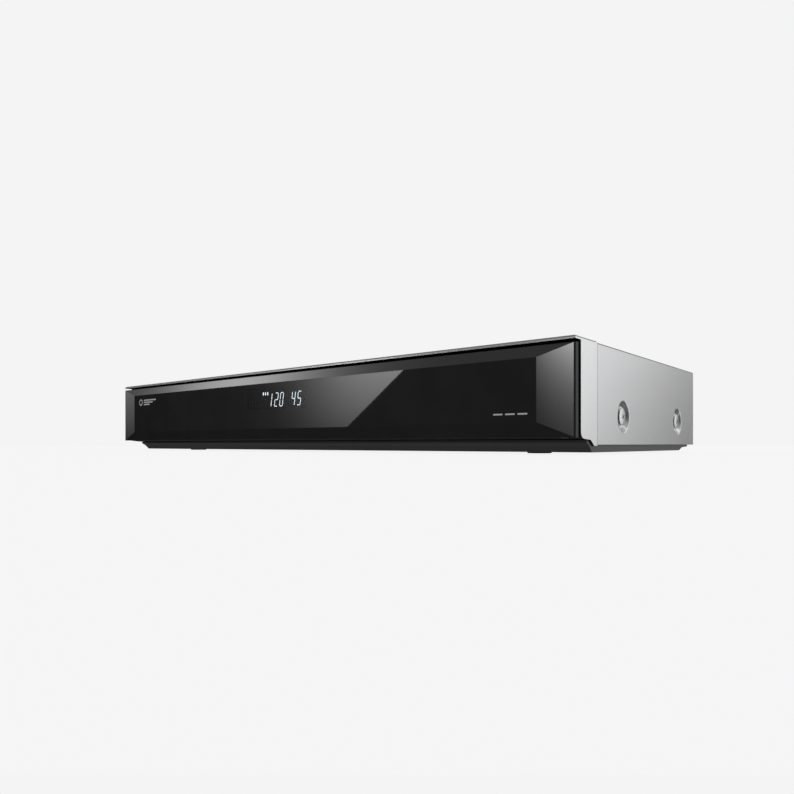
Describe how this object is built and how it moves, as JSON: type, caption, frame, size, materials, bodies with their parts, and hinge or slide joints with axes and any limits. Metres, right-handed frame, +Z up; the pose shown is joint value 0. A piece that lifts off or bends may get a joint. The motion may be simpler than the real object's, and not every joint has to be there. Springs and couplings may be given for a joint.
{
  "type": "home disc and hard-disk recorder",
  "caption": "Low wide silver recorder with a glossy black drop-down front flap, motor disc tray, optical drive, hard disk, cooling fan and rear socket panel.",
  "frame": {"origin": "on the floor under the middle of the whole object's box, between the foot pads", "axes": "+X to the right seen from the front, +Y from the front flap to the rear panel, +Z up"},
  "size_m": [0.43, 0.2106, 0.0571],
  "materials": {
    "silver_trim": "satin silver painted plastic",
    "cover_metal": "satin silver painted sheet steel",
    "base_metal": "dark painted sheet steel",
    "rear_metal": "satin coated sheet steel",
    "flap_gloss": "high gloss black with a smoked window",
    "black_plastic": "fine matt moulded",
    "foot_rubber": "matt",
    "screw_steel": "zinc plated",
    "bare_steel": "bright zinc plated sheet",
    "cast_aluminium": "cast and machined",
    "circuit_board": "solder mask over glass fibre",
    "display_glass": "dark display tube",
    "connector_gold": "plated",
    "white_plastic": "matt",
    "transformer_tape": "yellow insulating tape",
    "disk_mirror": "mirror polished"
  },
  "bodies": {
    "root": {"front_trim": "silver_trim", "top_cover": "cover_metal", "base_pan": "base_metal", "rear_panel": "rear_metal", "foot_front_left": "foot_rubber", "foot_front_right": "foot_rubber", "foot_rear_left": "foot_rubber", "foot_rear_right": "foot_rubber", "cover_screw_left_front": "screw_steel", "cover_screw_left_rear": "screw_steel", "cover_screw_right_front": "screw_steel", "cover_screw_right_rear": "screw_steel", "rear_screw_1": "screw_steel", "rear_screw_2": "screw_steel", "rear_screw_3": "screw_steel", "rear_screw_4": "screw_steel", "fascia": "black_plastic", "hinge_pin_left": "bare_steel", "hinge_pin_right": "bare_steel", "power_switch_board": "circuit_board", "eject_switch_board": "circuit_board", "display_module": "display_glass", "front_board": "circuit_board", "usb_socket_front": "bare_steel", "card_socket": "bare_steel", "module_socket": "black_plastic", "ribbon_cable": "white_plastic", "drive_frame": "black_plastic", "drive_bridge": "bare_steel", "disc_clamp": "white_plastic", "loader_deck": "bare_steel", "spindle_motor": "bare_steel", "sled_rail_left": "bare_steel", "sled_rail_right": "bare_steel", "disk_bracket": "bare_steel", "disk_base": "cast_aluminium", "disk_lid": "bare_steel", "main_board": "circuit_board", "heat_sink": "cast_aluminium", "tuner_module": "bare_steel", "aerial_socket_1": "connector_gold", "aerial_socket_2": "connector_gold", "lan_socket": "bare_steel", "usb_socket_rear": "bare_steel", "hdmi_socket": "bare_steel", "optical_socket": "black_plastic", "power_board": "circuit_board", "transformer": "transformer_tape", "bulk_capacitor": "black_plastic", "mains_inlet": "black_plastic", "fan_frame": "black_plastic"},
    "flap": {"front_flap": "flap_gloss"},
    "tray": {"disc_tray": "black_plastic"},
    "power_key": {"power_button": "silver_trim"},
    "eject_key": {"eject_button": "silver_trim"},
    "fan": {"fan_rotor": "black_plastic"},
    "turntable": {"spindle_turntable": "black_plastic"},
    "sled": {"laser_sled": "cast_aluminium"},
    "platter": {"disk_platter": "disk_mirror"},
    "arm": {"disk_arm": "cast_aluminium"}
  },
  "joints": [
    {"name": "flap_hinge", "type": "hinge", "parent": "root", "child": "flap", "pos_m": [0, -0.0991, 0.0102], "axis": [1, 0, 0], "range_deg": [0, 90]},
    {"name": "tray_slide", "type": "slide", "parent": "root", "child": "tray", "axis": [0, -1, 0], "range_m": [0, 0.14]},
    {"name": "power_press", "type": "slide", "parent": "root", "child": "power_key", "axis": [0, 0, -1], "range_m": [0, 0.0008], "stiffness_N_per_m": 600, "springref_m": -0.001},
    {"name": "eject_press", "type": "slide", "parent": "root", "child": "eject_key", "axis": [0, 0, -1], "range_m": [0, 0.0008], "stiffness_N_per_m": 600, "springref_m": -0.001},
    {"name": "fan_spin", "type": "hinge", "parent": "root", "child": "fan", "pos_m": [-0.125, 0.09, 0.03], "axis": [0, 1, 0], "continuous": true},
    {"name": "disc_spin", "type": "hinge", "parent": "root", "child": "turntable", "pos_m": [-0.072, -0.0112, 0.046], "axis": [0, 0, 1], "continuous": true},
    {"name": "sled_slide", "type": "slide", "parent": "root", "child": "sled", "axis": [0, 1, 0], "range_m": [0, 0.036]},
    {"name": "platter_spin", "type": "hinge", "parent": "root", "child": "platter", "pos_m": [0.1548, -0.0177, 0.03], "axis": [0, 0, 1], "continuous": true},
    {"name": "arm_swing", "type": "hinge", "parent": "root", "child": "arm", "pos_m": [0.178, 0.0363, 0.03], "axis": [0, 0, 1], "range_deg": [0, 38]}
  ],
  "couplings": [
    {"joint": "tray_slide", "follows": "flap_hinge", "m_per_rad": 0.0891}
  ]
}
